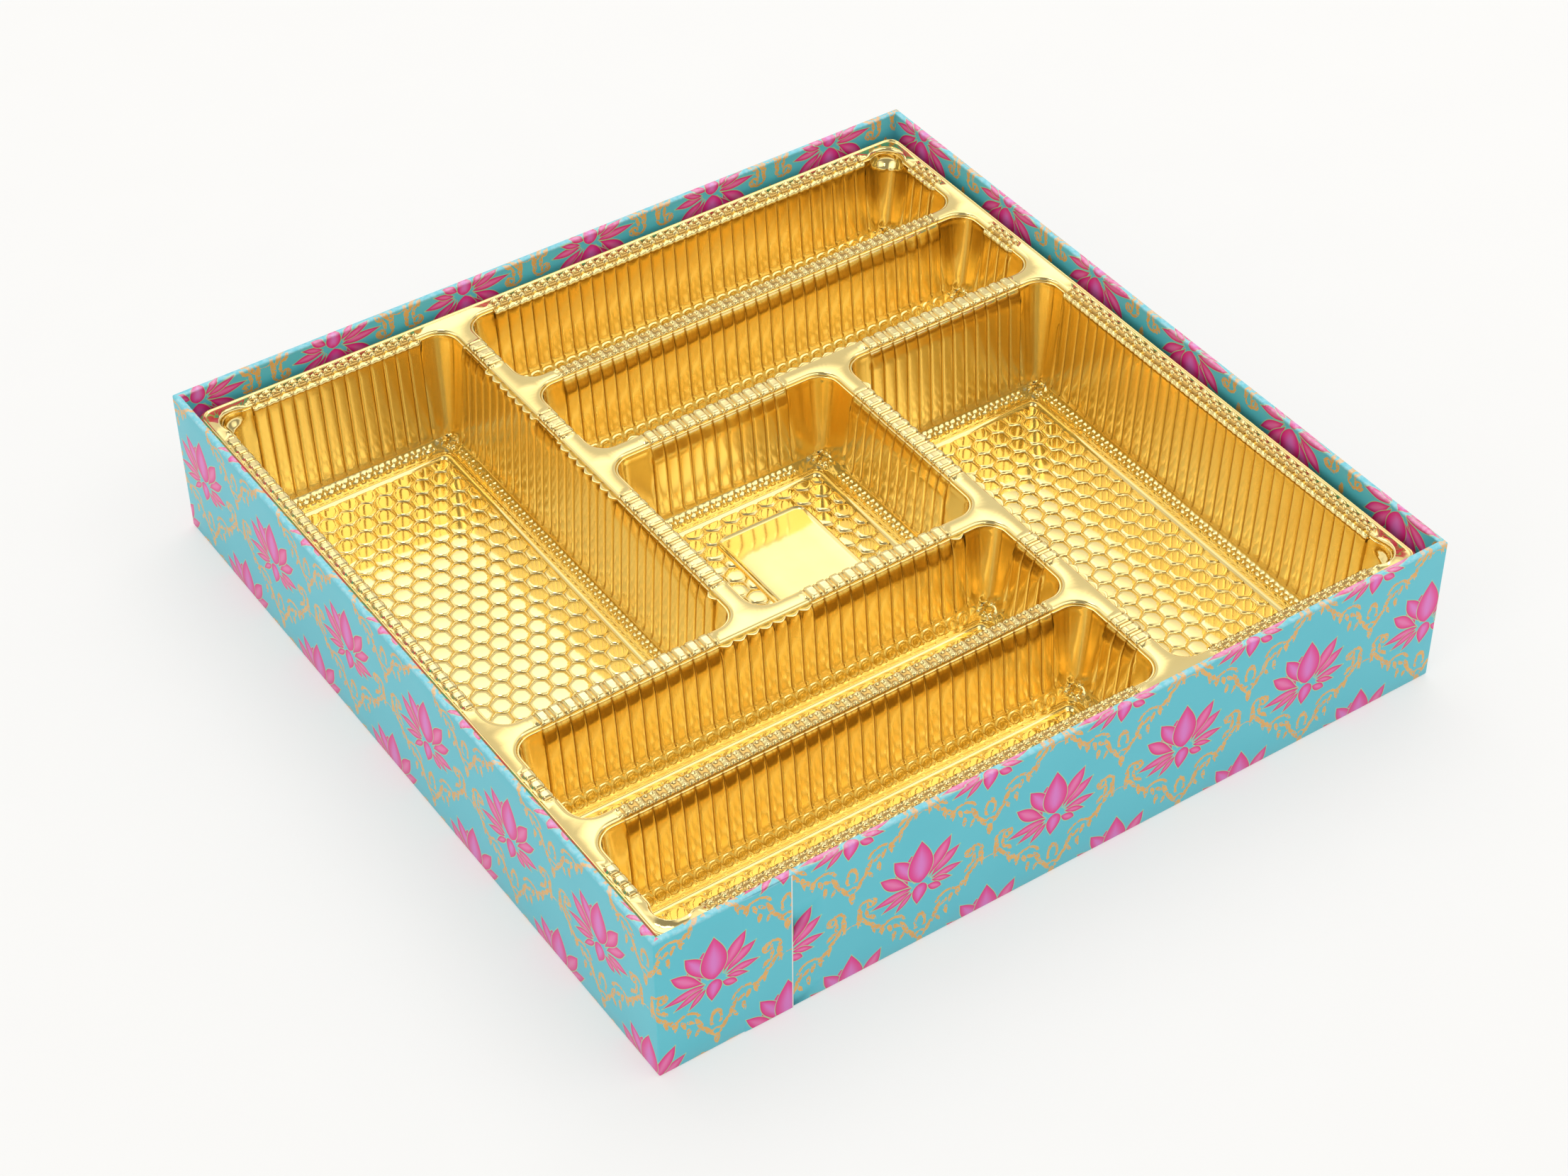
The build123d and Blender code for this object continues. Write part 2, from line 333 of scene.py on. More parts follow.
def printed_paper():
    """Turquoise paper with the lotus and scroll print, satin, with a faint grain."""
    g = material("printed_paper", IOR=1.47, Coat_Weight=0.12, Coat_Roughness=0.2)
    uv = g.sheet()
    cloud = g.noise(0.035, 2, 0.5, uv)
    colour = g.mix(cloud, srgb(82, 190, 206), srgb(96, 200, 214))

    place = cell_place(g, uv, -26.0, True)
    gold = None
    for kind, shapes in ((petal, LEAVES), (ring, RINGS)):
        for shape in shapes:
            d = kind(g, place, shape)
            gold = d if gold is None else g.math("MINIMUM", gold, d)
    ragged = g.noise(0.9, 2, 0.5, uv)
    gold = g.muladd(g.sub(ragged, 0.5), 0.9, gold)
    shade = g.mix(g.noise(0.25, 2, 0.5, uv), srgb(214, 152, 72), srgb(244, 190, 104))
    inside = g.less(g.step(gold, -0.08, 0.08))
    hollow = g.step(g.noise(1.3, 1, 0.5, uv), 0.58, 0.64)
    inside = g.mul(inside, g.less(hollow))
    colour = g.mix(inside, colour, shade)

    place = cell_place(g, uv, -ROW / 2 + 2.2, False)
    mint, hot, deep = srgb(170, 214, 160), srgb(228, 40, 138), srgb(206, 20, 84)
    for shape in PETALS:
        d = petal(g, place, shape)
        wide = shape[4]
        pale = srgb(222, 124, 204) if wide > 2.2 else srgb(236, 120, 178)
        colour = g.mix(g.less(g.step(d, 0.12, 0.34)), colour, mint)
        inner = g.mul(d, -1.0)
        rim = g.mix(g.step(inner, 0.0, 0.3), deep, hot)
        heart = g.step(inner, 0.2, wide * 0.95)
        fill = g.mix(g.mul(heart, 0.9), rim, pale)
        colour = g.mix(g.less(g.step(d, -0.06, 0.08)), colour, fill)

    # The paper is paler where it folds over the rim: partly rubbed wear, partly a painted highlight of the
    # fold's sheen
    near_rim = g.step(g.split(g.place())[2], 0.0490, 0.0498)
    patchy = g.step(g.noise(0.6, 2, 0.6, uv), 0.30, 0.70)
    wear_and_sheen = g.mul(near_rim, g.muladd(patchy, 0.25, 0.08))
    colour = g.mix(wear_and_sheen, colour, srgb(226, 240, 246))
    grain = g.noise(3.0, 3, 0.6, uv)
    return g.dress(colour, g.muladd(grain, 0.14, 0.34), g.bump(grain, 0.12, 0.0001))


GOLD = gold_film()
PRINT = printed_paper()
BOARD = board_grey()
WHITE = paper("white_paper", srgb(240, 238, 232), srgb(228, 225, 216), 0.7)
KRAFT = paper("kraft_tape", srgb(190, 150, 105), srgb(170, 130, 88), 0.65)


# Meshes

def mesh_object(name, points, faces, materials, uv, sharp, face_materials=None):
    """An object from points in millimetres and faces of any size."""
    mesh = bpy.data.meshes.new(name)
    mesh.from_pydata((np.asarray(points, float) * MM).tolist(), [], faces)
    for m in materials:
        mesh.materials.append(m)
    if face_materials is not None:
        mesh.polygons.foreach_set("material_index", np.asarray(face_materials, np.int32))
    layer = mesh.uv_layers.new(name="sheet")
    layer.data.foreach_set("uv", np.asarray(uv, np.float32).ravel())
    mesh.polygons.foreach_set("use_smooth", np.ones(len(mesh.polygons), bool))
    mesh.set_sharp_from_angle(angle=radians(sharp))
    mesh.validate()
    mesh.update()
    return link(name, mesh)


# The tray. A pocket's outline is a list of columns, in order round the opening: points of
# the four sides, each followed by its corner.

def side_length(rect, k):
    return rect[2] - rect[0] if k % 2 == 0 else rect[3] - rect[1]


def corners_of(rect):
    x0, y0, x1, y1 = rect
    return [(x0, y0), (x1, y0), (x1, y1), (x0, y1)]


def flute_layout(length, plain):
    count = floor((length - 2 * plain) / PITCH)
    return count, (length - count * PITCH) / 2


# Columns of points across a flute, closest at its grooves
ACROSS = np.array([0, 0.045, 0.09, 0.15, 0.26, 0.42, 0.58, 0.74, 0.85, 0.91, 0.955])
PLAIN_STEP = 0.9     # most between columns of a plain stretch


def columns(rect, plain, across=ACROSS):
    """The columns' side, place along it, distance from their flute's middle (1 in a groove),
    whether they are fluted, and turn round the corner, which is -1 on a side."""
    side, along, groove_at, fluted, turn = [], [], [], [], []
    for k in range(4):
        length = side_length(rect, k)
        count, start = flute_layout(length, plain)
        lead = np.linspace(CORNER, start, max(3, ceil((start - CORNER) / PLAIN_STEP)), endpoint=False)
        phase = (np.arange(count)[:, None] + across[None, :]).ravel()
        tail = length - lead[::-1]
        groove = np.abs(2 * (phase % 1) - 1)
        s = np.concatenate([lead, start + phase * PITCH, [length - start], tail])
        f = np.concatenate([np.ones(len(lead)), groove, [1], np.ones(len(tail))])
        on = np.concatenate([np.zeros(len(lead)), np.ones(len(phase)), [1], np.zeros(len(tail))])
        arc = np.linspace(0, pi / 2, 11)[1:-1]
        side += [k] * (len(s) + len(arc))
        along += list(s) + [length] * len(arc)
        groove_at += list(f) + [1] * len(arc)
        fluted += list(on) + [0] * len(arc)
        turn += [-1] * len(s) + list(arc)
    return tuple(np.array(v, float) for v in (side, along, groove_at, fluted, turn))


def level(rect, cols, notch, inset, z, flute=None):
    """The columns' points at one level. flute is each column's own extra inset."""
    side, along, _, _, turn = cols
    # The corner's radius falls with the inset down the wall, and more slowly from there to the panel
    foot, foot_radius, panel_radius, run = 3.9, 3.1, 2.0, 5.9
    if inset <= foot:
        radius = CORNER - inset
    else:
        radius = foot_radius + (inset - foot) * (panel_radius - foot_radius) / run
    reach = inset + radius
    inward = np.full(len(side), float(inset)) + (0 if flute is None else flute)
    out = np.zeros((len(side), 3))
    for k, ((ax, ay), (nx, ny)) in enumerate(SIDE_AXES):
        length = side_length(rect, k)
        pick = side == k
        straight = pick & (turn < 0)
        bend = pick & (turn >= 0)
        free = min(20.0, length / 2)    # columns nearer a corner than this move with its radius
        s = along[straight]
        near = np.minimum(s, length - s)
        pressed = reach + (near - CORNER) * (free - reach) / (free - CORNER)
        moved = np.where(near < free, pressed, near)
        s = np.where(s < length / 2, moved, length - moved)
        angle = turn[bend]
        r = radius - (inward[bend] - inset)
        x, y = corners_of(rect)[k]
        for part, s, t in ((straight, s, inward[straight]),
                           (bend, length - reach + r * np.sin(angle), reach - r * np.cos(angle))):
            out[part, 0] = x + ax * s + nx * t
            out[part, 1] = y + ay * s + ny * t
    out[:, 2] = z
    if notch:
        centre = np.array(notch) * (FIELD - NOTCH_IN)
        drop = 1.5 * max(0.0, LEDGE_Z - z)
        if drop < NOTCH_R:
            ball = (NOTCH_R ** 2 - drop ** 2) ** 0.5 - min(0.0, inset)
            away = out[:, :2] - centre
            far = np.maximum(np.linalg.norm(away, axis=1), 1e-6)
            # The larger of the two, blended where they are nearly equal
            blend = 0.4
            wide = (far + ball + np.sqrt((far - ball) ** 2 + blend * blend)) / 2
            fade = 1 - smooth(far, NOTCH_R + 0.8, NOTCH_R + 7.0)
            out[:, :2] = centre + away * ((far + (wide - far) * fade) / far)[:, None]
    return out


def stitch(rows):
    """Quads between successive closed rows of the same number of points."""
    n = len(rows[0])
    points = np.concatenate(rows)
    k = np.arange(n)
    after = (k + 1) % n
    faces = []
    for r in range(len(rows) - 1):
        a, b = r * n, (r + 1) * n
        faces.append(np.stack([a + k, b + k, b + after, a + after], 1))
    return points, np.concatenate(faces)


def join(parts):
    """One list of points and faces from several."""
    points, faces, base = [], [], 0
    for pts, fcs in parts:
        points.append(np.asarray(pts))
        faces += [tuple(int(base + v) for v in f) for f in fcs]
        base += len(pts)
    return np.concatenate(points), faces


def weld(points, faces, distance):
    """A bmesh in which points closer than distance are one."""
    bm = bmesh.new()
    verts = [bm.verts.new(p) for p in points]
    for f in faces:
        bm.faces.new([verts[v] for v in f])
    bmesh.ops.remove_doubles(bm, verts=bm.verts, dist=distance)
    return bm


def unpack(bm):
    bm.verts.index_update()
    points = np.array([v.co for v in bm.verts])
    faces = [tuple(v.index for v in f.verts) for f in bm.faces]
    bm.free()
    return points, faces


def hex_floor(rect, inset, z, domed, plate):
    """Domes in a honeycomb over a floor panel, each inside its own thin raised outline, or
    rounder and with valleys between them if domed."""
    x0, y0, x1, y1 = rect[0] + inset, rect[1] + inset, rect[2] - inset, rect[3] - inset
    across, up = 6.45, 5.65             # between cells
    circle = 3.32                       # radius that a cell's outline blends to
    if domed:
        peak = 0.37
        scales = np.array([0.5, 0.74, 0.86, 0.92, 0.96, 1.0])
        heights = np.array([0.35, 0.31, 0.22, 0.10, 0.02, 0.0])
    else:
        peak = 0.31
        scales = np.array([0.60, 0.85, 0.91, 0.94, 0.97, 1.0])
        heights = np.array([0.30, 0.27, 0.19, 0.05, 0.07, 0.18])
    turns = np.radians(30 + 30 * np.arange(12))
    hexagon = np.array([across / 3 ** 0.5 * (1 if k % 2 == 0 else 3 ** 0.5 / 2) for k in range(12)])
    points, faces = [], []
    columns_n = ceil((x1 - x0) / across / 2) + 1
    rows_n = ceil((y1 - y0) / up / 2) + 1
    mx, my = (x0 + x1) / 2, (y0 + y1) / 2
    for j in range(-rows_n, rows_n + 1):
        for i in range(-columns_n, columns_n + 1):
            cx = mx + (i + (j % 2) / 2) * across
            cy = my + j * up
            if plate and abs(cx - plate[0]) < plate[2] - 2 and abs(cy - plate[1]) < plate[3] - 2:
                continue
            base = len(points)
            points.append((cx, cy, z + peak))
            for scale, height in zip(scales, heights):
                blend = scale ** 8 if domed else 0.35 + 0.65 * scale ** 3
                ring_r = (hexagon * blend + circle * (1 - blend)) * scale
                for r, a in zip(ring_r, turns):
                    points.append((cx + r * cos(a), cy + r * sin(a) * up / (across * 3 ** 0.5 / 2),
                                   z + height))
            for k in range(12):
                faces.append((base, base + 1 + k, base + 1 + (k + 1) % 12))
            for ring_k in range(len(scales) - 1):
                a = base + 1 + 12 * ring_k
                for k in range(12):
                    m = (k + 1) % 12
                    faces.append((a + k, a + 12 + k, a + 12 + m, a + m))
    bm = weld(points, faces, 0.02)
    for co, no in (((x0, 0, 0), (-1, 0, 0)), ((x1, 0, 0), (1, 0, 0)),
                   ((0, y0, 0), (0, -1, 0)), ((0, y1, 0), (0, 1, 0))):
        bmesh.ops.bisect_plane(bm, geom=bm.verts[:] + bm.edges[:] + bm.faces[:], dist=1e-4,
                               plane_co=co, plane_no=no, clear_outer=True)
    return unpack(bm)


# Quarters of a rounded outline: the corner's side of the middle, and its first direction
QUARTERS = [(1, 1, 0), (-1, 1, pi / 2), (-1, -1, pi), (1, -1, 3 * pi / 2)]
# The plate's rolled edge: inset and height
PLATE_EDGE = [(-0.5, -0.2), (-0.45, 0.35), (-0.2, 0.72), (0.15, 0.85), (0.5, 0.72), (0.9, 0.6),
              (1.6, 0.56), (6.0, 0.56)]


def quarter(x, y, radius, first, z):
    """A quarter circle's points, from its first direction."""
    return [(x + radius * cos(first + a), y + radius * sin(first + a), z)
            for a in np.linspace(0, pi / 2, 9)]


def floor_plate(plate, z):
    """The bare raised plate in the centre pocket, with a rolled edge."""
    cx, cy, hx, hy = plate
    rows = []
    for inset, height in PLATE_EDGE:
        radius = max(0.8, 3.0 - inset)
        ring_points = []
        for sx, sy, first in QUARTERS:
            x, y = cx + sx * (hx - inset - radius), cy + sy * (hy - inset - radius)
            ring_points += quarter(x, y, radius, first, z + height)
        rows.append(np.array(ring_points))
    points, faces = stitch(rows)
    return points, [*faces, range(len(points) - len(rows[0]), len(points))]


SAW_Z = 42.4         # height of the toothed edge round a pocket
PANEL_INSET = 9.7    # the honeycomb's edge, in from the pocket's
PLATE = (1.5, 0.0, 15.0, 20.5)      # the plate's middle, and half its sides

# Rows of a pocket's film. At its edge: inset, drop, share of the teeth, share of the flutes
# beside ridges and elsewhere, bank beside beads, and lift of the beads
EDGE_ROWS = [(0.0, -0.1, 0, 0, 0, 0.0, 0), (0.0, 0.0, 1, 0.25, 0, 0.3, 0.35),
             (0.0, 0.05, 1, 0.28, 0, 0.65, 0.6), (0.0, 0.15, 1, 0.3, 0, 1.0, 0.35),
             (0.1, 0.45, 1, 0.35, 0, 1.2, 0.0), (0.3, 1.1, 0.4, 0.45, 0.6, 1.1, 0.0)]
# Down a wall: drops below the ledge
WALL_DROPS = (1.6, 2.6, 3.4, 4.1, 4.8, 5.4, 6.0, 6.6, 7.4, 12.0)
# Where a wall's flutes end: height above the foot, and how far the grooves have closed
CLOSING_ROWS = [(3.2, 0), (2.4, 0.05), (1.7, 0.16), (1.1, 0.38), (0.6, 0.66), (0.25, 0.9)]
# Channel and bead round the honeycomb: inset and height
PANEL_ROWS = [(6.65, -0.06), (7.0, 0.0), (7.25, 0.22), (7.6, 0.52), (8.0, 0.72), (8.4, 0.78),
              (8.8, 0.7), (9.15, 0.46), (9.4, 0.14), (9.55, 0.0), (9.75, -0.2), (9.85, -0.45)]


def dot(squared, spread):
    """1 in the middle of a small round form and less with the squared distance from it."""
    return np.exp(-(squared / spread))


def pocket(name, rect, floor_z, plain, notch):
    """One formed pocket, from under the deck's lip to its honeycomb floor."""
    cols = columns(rect, plain)
    _, _, groove, fluted, _ = cols
    foot_z = floor_z + FOOT_RISE
    total = LEDGE_Z - foot_z
    on = fluted > 0
    saw = 1 - groove ** 1.15
    lobe = 0.27 + 0.40 * (1 - groove ** 9) + 0.05 * (1 - groove ** 2)
    edge = level(rect, cols, None, 0.0, DECK_TOP)[:, :2]
    ridged = beside_runs(edge, ("ridge", "chain", "blocks"))
    beaded = beside_runs(edge, ("pearls",))
    bare = 1 - np.maximum(ridged, beaded)
    tooth = bare * (FLUTE * saw * on + 0.4)
    p = phase_along(rect, cols, plain) * PITCH
    gap = np.abs(p)
    stud = np.exp(-(gap / 0.8) ** 4) + 0.8 * np.exp(-((gap - PITCH / 2) / 0.6) ** 4)
    stud = stud * beaded * on
    bent = corner_distance(rect, cols)
    rows = []
    lobed = FLUTE * lobe * on
    for inset, drop, teeth, start, fill, bank, lift in EDGE_ROWS:
        extra = tooth * teeth + lobed * (ridged * start + bare * fill) + bank * beaded * on
        row = level(rect, cols, notch, inset, SAW_Z - drop, extra)
        row[:, 2] += lift * stud
        rows.append(row)
    for drop in (*WALL_DROPS, total - 4.5):
        if drop > total - 4.4:
            continue
        inset = 0.5 + DRAFT * drop / total
        grown = 1 - ridged * (1 - smooth(drop, -1.5, 5.0))
        extra = np.where(on, FLUTE * lobe * grown, FLUTE * (drop / total) ** 1.4)
        rows.append(level(rect, cols, notch, inset, LEDGE_Z - drop, extra))
    for up, close in CLOSING_ROWS:
        inset = 2.5 - DRAFT * up / total
        flat = FLUTE * (lobe + (1 - lobe) * close)
        fold = crumple(bent, -up)
        extra = np.where(on, flat, FLUTE * (1 - up / total) ** 1.4 + fold)
        rows.append(level(rect, cols, notch, inset, foot_z + up, extra))
    first, beads, rings = len(rows) * len(groove), [], []
    # The foot slopes to the floor, with three sizes of bead or one ring for each flute
    deep = floor_z < SHALLOW - 1
    scalloped = deep or name == "pocket_centre"
    slope = (FOOT_RUN ** 2 + FOOT_RISE ** 2) ** 0.5
    for u in np.linspace(0.0, 1.0, 14):
        v = u * slope
        outline = np.zeros(len(groove))
        if scalloped:
            bead = 0.85 * dot(p ** 2 + (v - 3.1) ** 2, 0.5)
            bead += 0.62 * dot((gap - 1.2) ** 2 + (v - 1.7) ** 2, 0.28)
            bead += 0.5 * dot((gap - PITCH / 2) ** 2 + (v - 2.9) ** 2, 0.22)
        else:
            r = np.sqrt(p ** 2 + (v - 2.35) ** 2)
            bead = 0.27 * dot((r - 1.7) ** 2, 0.10) + 0.10 * dot(r ** 2, 1.0)
            outline = 0.86 * np.exp(-((r - 1.55) / 0.42) ** 4) * fluted
        bead = bead * fluted * smooth(v, 0.0, 0.5) * (1 - smooth(v, slope - 0.6, slope))
        beads.append(bead)
        rings.append(outline)
        bead = bead + crumple(bent, v) * (1 - fluted) * (1 - smooth(v, slope - 1.2, slope))
        inset, z = 3.9 + FOOT_RUN * u, foot_z - FOOT_RISE * u
        row = level(rect, cols, notch, inset, z, bead * (FOOT_RISE / slope))
        row[:, 2] += bead * (FOOT_RUN / slope)
        rows.append(row)
    for inset, height in PANEL_ROWS:
        rows.append(level(rect, cols, notch, inset, floor_z + height))
    points, faces = stitch(rows)
    # What the film's colour reads: x for painted shade in grooves and along the foot's rings, y for painted
    # highlights on beads
    line, painted_highlight = np.zeros(len(points)), np.zeros(len(points))
    line[:first] = np.tile(groove * on, first // len(groove))
    beads = np.concatenate(beads) * (1.0 if scalloped else 0.4)
    painted_highlight[first:first + len(beads)] = beads / 0.6
    line[first:first + len(beads)] = np.concatenate(rings)
    sheet = [(line[v], painted_highlight[v]) for f in faces for v in f]
    plate = PLATE if name == "pocket_centre" else None
    floor_points, floor_faces = hex_floor(rect, PANEL_INSET, floor_z, not deep, plate)
    # The honeycomb's valleys get painted shade through the sheet's x
    valley_shade = 1 - smooth(floor_points[:, 2] - floor_z, 0.03, 0.16)
    sheet += [(0.88 * valley_shade[v], 0.0) for f in floor_faces for v in f]
    parts = [(points, faces), (floor_points, floor_faces)]
    if plate:
        parts.append(floor_plate(plate, floor_z))
    points, faces = join(parts)
    sheet += [(0.0, 0.0)] * (sum(len(f) for f in faces) - len(sheet))
    obj = mesh_object(name + "_film", points, faces, [GOLD], sheet, 38)
    # Its thickness goes outwards from the side that shows
    solid = obj.modifiers.new("film", "SOLIDIFY")
    solid.thickness = FILM * MM
    solid.offset = -1
    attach(obj, "tray")
    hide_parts(name)


def corner_distance(rect, cols):
    """Each column's distance from the middle of the nearest corner, along the outline."""
    side, along, _, _, turn = cols
    out = np.zeros(len(side))
    for k in range(4):
        length = side_length(rect, k)
        pick = (side == k) & (turn < 0)
        s = along[pick]
        out[pick] = np.where(s < length / 2, s - CORNER + 2.4, s - length + CORNER - 2.4)
    bend = turn >= 0
    out[bend] = (turn[bend] - pi / 4) * 3.1
    return out


def crumple(bent, v):
    """Folds pressed into the film near a corner's foot, v down its slope and negative above."""
    near = np.exp(-(bent / 3.4) ** 2) * np.exp(-((v - 1.0) / 2.2) ** 2)
    folds = 1 - np.abs(np.sin(1.15 * bent + 0.8 * v + 0.9 * np.sin(1.9 * v)))
    return 2.1 * near * folds


def phase_along(rect, cols, plain):
    """Each column's place in its flute, from -0.5 to 0.5, with 0 at the tip."""
    side, along, _, fluted, _ = cols
    out = np.full(len(side), 0.5)
    for k in range(4):
        start = flute_layout(side_length(rect, k), plain)[1]
        pick = (side == k) & (fluted > 0)
        out[pick] = ((along[pick] - start) / PITCH) % 1 - 0.5
    return out


# The deck's ridges and beads lie in runs beside the pockets' sides: kind, width and sides
RUN_SIDES = [
    ("ridge", WIDE, (("centre", FRONT, RIGHT, BACK, LEFT), ("left", FRONT), ("right", BACK),
                     ("back_outer", LEFT), ("back_inner", LEFT), ("front_outer", RIGHT),
                     ("front_inner", RIGHT))),
    ("chain", NARROW, (("back_outer", FRONT), ("front_outer", BACK))),
    ("blocks", FLANGE_RUN, (("left", LEFT), ("front_outer", LEFT), ("front_inner", LEFT))),
    ("pearls", FLANGE_RUN, (("left", BACK), ("right", RIGHT, FRONT), ("back_outer", BACK, RIGHT),
                            ("back_inner", RIGHT), ("front_outer", FRONT))),
]


def run_beside(name, side, width, kind):
    """The first flute's middle, directions along and across, number of flutes, width, kind."""
    rect, _, plain, _ = POCKETS["pocket_" + name]
    count, start = flute_layout(side_length(rect, side), plain)
    x, y = corners_of(rect)[side]
    (ax, ay), (nx, ny) = SIDE_AXES[side]
    first = start + PITCH / 2
    return x + ax * first, y + ay * first, ax, ay, -nx, -ny, count, width, kind


RUNS = [run_beside(name, side, width, kind)
        for kind, width, beside in RUN_SIDES for name, *sides in beside for side in sides]


def in_run(xy, run):
    """Distances of points along a run, from its first flute's middle, and across it."""
    x, y, ax, ay, nx, ny = run[:6]
    dx, dy = xy[:, 0] - x, xy[:, 1] - y
    return dx * ax + dy * ay, dx * nx + dy * ny


def deck_height(xy, kinds):
    """How far the ridges and beads of some kinds stand above the deck at each point, and how
    much of a hollow between them each point is."""
    h = np.zeros(len(xy))
    hollow = np.zeros(len(xy))
    if "pearls" in kinds:
        for _, _, _, notch in POCKETS.values():
            if notch:
                middle = FIELD - NOTCH_IN
                away = np.linalg.norm(xy - np.array(notch) * middle, axis=1)
                outer = smooth((xy * np.array(notch)).sum(1) / 2, middle - 1.0, middle + 1.0)
                h = np.maximum(h, 0.6 * outer * np.exp(-(((away - NOTCH_R - 0.8) / 0.5) ** 2)))
    for run in RUNS:
        count, high, kind = run[6:]
        if kind not in kinds:
            continue
        s, q = in_run(xy, run)
        halfway, end = PITCH / 2, (count - 0.5) * PITCH
        on = (s > -halfway - 0.2) & (s < end + 0.2) & (q > -0.9) & (q < high + 0.9)
        if not on.any():
            continue
        s, q = s[on], q[on]
        p = np.abs((s / PITCH + 0.5) % 1 - 0.5) * PITCH
        if kind == "ridge":
            block = 1 - smooth(p, 0.9, 1.35)
            rib = np.exp(-((p - halfway) / 0.28) ** 2)
            inner = np.minimum(q, high - q)
            pearl = np.exp(-((inner - 0.3) / 0.6) ** 2) * (1 - smooth(p, 0.6, 1.25))
            value = 0.66 * block + 0.42 * rib + 0.20 * pearl
            value *= smooth(inner, -0.9, 0.1)
        elif kind == "chain":
            middle = np.abs(q - high / 2)
            pearl = np.exp(-(((p / 0.8) ** 2 + ((middle - 1.3) / 0.6) ** 2) ** 1.6))
            small = np.exp(-((((p - halfway) / 0.6) ** 2 + ((middle - 1.4) / 0.55) ** 2) ** 1.6))
            waist = np.exp(-((p / 0.6) ** 2)) * (1 - smooth(middle, 0.5, 1.3))
            value = 0.62 * pearl + 0.46 * small + 0.34 * waist
        elif kind == "blocks":
            block = (1 - smooth(p, 1.0, 1.4)) * (1 - smooth(q + 0.25 * p ** 2, 2.9, 3.5))
            rib = np.exp(-((p - halfway) / 0.26) ** 2) * (1 - smooth(q, 2.2, 2.9))
            value = 0.80 * block + 0.34 * rib
            value *= smooth(q, -0.9, 0.1)
        else:
            value = 0
            for place, rank, long, wide in ((0.0, 0.8, 0.72, 0.66), (halfway, 1.85, 0.5, 0.45),
                                            (0.0, 2.9, 1.05, 0.5)):
                spot = ((p - place) / long) ** 2 + ((q - rank) / wide) ** 2
                value = value + 0.8 * np.exp(-(spot ** 1.6))
        h[on] = np.maximum(h[on], value)
        within = smooth(q, -0.3, 0.1) * (1 - smooth(q, high - 0.3, high + 0.3))
        within *= smooth(s, -halfway, -halfway + 0.5)
        within *= 1 - smooth(s, end - 0.5, end)
        hollow[on] = np.maximum(hollow[on], within * (1 - smooth(value, 0.02, 0.28)))
    return h, hollow


BROAD = ("ridge", "blocks")
FINE = ("chain", "pearls")


def beside_runs(xy, kinds):
    """1 at points of a pocket's edge that lie beside a run of some kinds, else 0."""
    out = np.zeros(len(xy))
    for run in RUNS:
        count, high, kind = run[6:]
        if kind in kinds:
            s, q = in_run(xy, run)
            out[(s > -PITCH / 2) & (s < (count - 0.5) * PITCH) & (q > -0.5) & (q < high + 0.5)] = 1
    return out


def inside_polygon(points, polygon):
    """Even-odd test of many points against one closed polygon."""
    result = np.zeros(len(points), bool)
    low, high = polygon.min(0), polygon.max(0)
    near = np.where(((points > low) & (points < high)).all(1))[0]
    a, b = polygon, np.roll(polygon, -1, 0)
    for start in range(0, len(near), 4000):
        part = near[start:start + 4000]
        px, py = points[part, 0][:, None], points[part, 1][:, None]
        cross = (a[:, 1] > py) != (b[:, 1] > py)
        rise = np.where(b[:, 1] == a[:, 1], 1e-12, b[:, 1] - a[:, 1])
        at = a[:, 0] + (py - a[:, 1]) * ((b[:, 0] - a[:, 0]) / rise)
        result[part] = (cross & (px < at)).sum(1) % 2 == 1
    return result


def rounded_square(half, radius, z):
    points = []
    centre = half - radius
    for (sx, sy, first), (tx, ty, _) in zip(QUARTERS, QUARTERS[1:] + QUARTERS[:1]):
        points += quarter(sx * centre, sy * centre, radius, first, z)
        dx, dy = radius * cos(first + pi / 2), radius * sin(first + pi / 2)
        end = np.array([sx * centre + dx, sy * centre + dy])
        far = np.array([tx * centre + dx, ty * centre + dy])
        for t in np.linspace(0, 1, SQUARE_STEPS + 1)[1:-1]:
            points.append((*(end + (far - end) * t), z))
    return np.array(points)


ROLL = 1.2           # width of the lip rolled over round each pocket
# The lip: inset, drop, share of a ridge's height that it keeps, and push into the pocket
LIP = ((-ROLL, 0, 1, 0), (-0.95, 0.03, 1, 0.02), (-0.7, 0.07, 1, 0.08), (-0.45, 0.16, 0.93, 0.18),
       (-0.22, 0.3, 0.75, 0.3), (-0.05, 0.55, 0.45, 0.36), (0, 0.8, 0.1, 0.3),
       (0, DECK_TOP - SAW_Z - 0.1, 0, 0))
# The tray's rolled outer edge: inset and height
RIM = ((1.7, 0), (1.5, 0.06), (1.3, 0.3), (1.1, 0.45), (0.9, 0.42), (0.65, 0.2), (0.4, -0.05),
       (0.15, -0.45), (0, -1.0), (0, -3.0))
LOOP_STEPS = 14      # columns of the lip across a flute
SQUARE_STEPS = 44    # along a side of the tray's edge
GRID_STEP = 0.31     # between points across a run


def between_loops(loops, grid=()):
    """A triangulated sheet inside the last loop and outside the others."""
    constraints, base = [], 0
    for loop in loops:
        n = len(loop)
        constraints += [(base + k, base + (k + 1) % n) for k in range(n)]
        base += n
    coords = [Vector(p) for p in np.concatenate([*loops, *grid])]
    points, _, faces, _, _, _ = delaunay_2d_cdt(coords, constraints, [], 0, 1e-5)
    points = np.array([tuple(p) for p in points])
    faces = np.array(faces)
    middle = points[faces].mean(1)
    keep = inside_polygon(middle, loops[-1])
    for loop in loops[:-1]:
        keep &= ~inside_polygon(middle, loop)
    return points, faces[keep]


